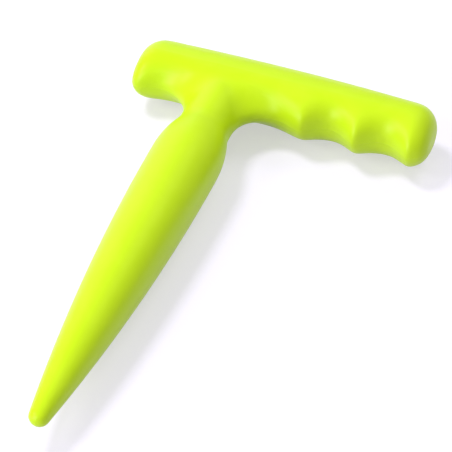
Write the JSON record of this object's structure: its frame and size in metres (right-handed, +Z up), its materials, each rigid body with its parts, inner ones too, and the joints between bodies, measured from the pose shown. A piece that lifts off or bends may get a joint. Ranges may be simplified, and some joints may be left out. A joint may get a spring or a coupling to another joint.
{
  "type": "garden dibber",
  "caption": "Plastic T-handled dibber: a handle with finger grooves, a narrow neck and a tapering spike with a blunt tip for pressing planting holes into soil.",
  "frame": {"origin": "centre of the bounding box's bottom face, where the tool lies on a flat surface", "axes": "+Z up, square to the plane of the T; +X along the handle towards its long arm; -Y along the spike towards its tip"},
  "size_m": [0.1218, 0.2017, 0.0278],
  "materials": {
    "lime_plastic": "smooth moulded polypropylene, semi-gloss, bright lime green"
  },
  "bodies": {
    "root": {"upper_shell": "lime_plastic", "lower_shell": "lime_plastic"}
  },
  "joints": []
}
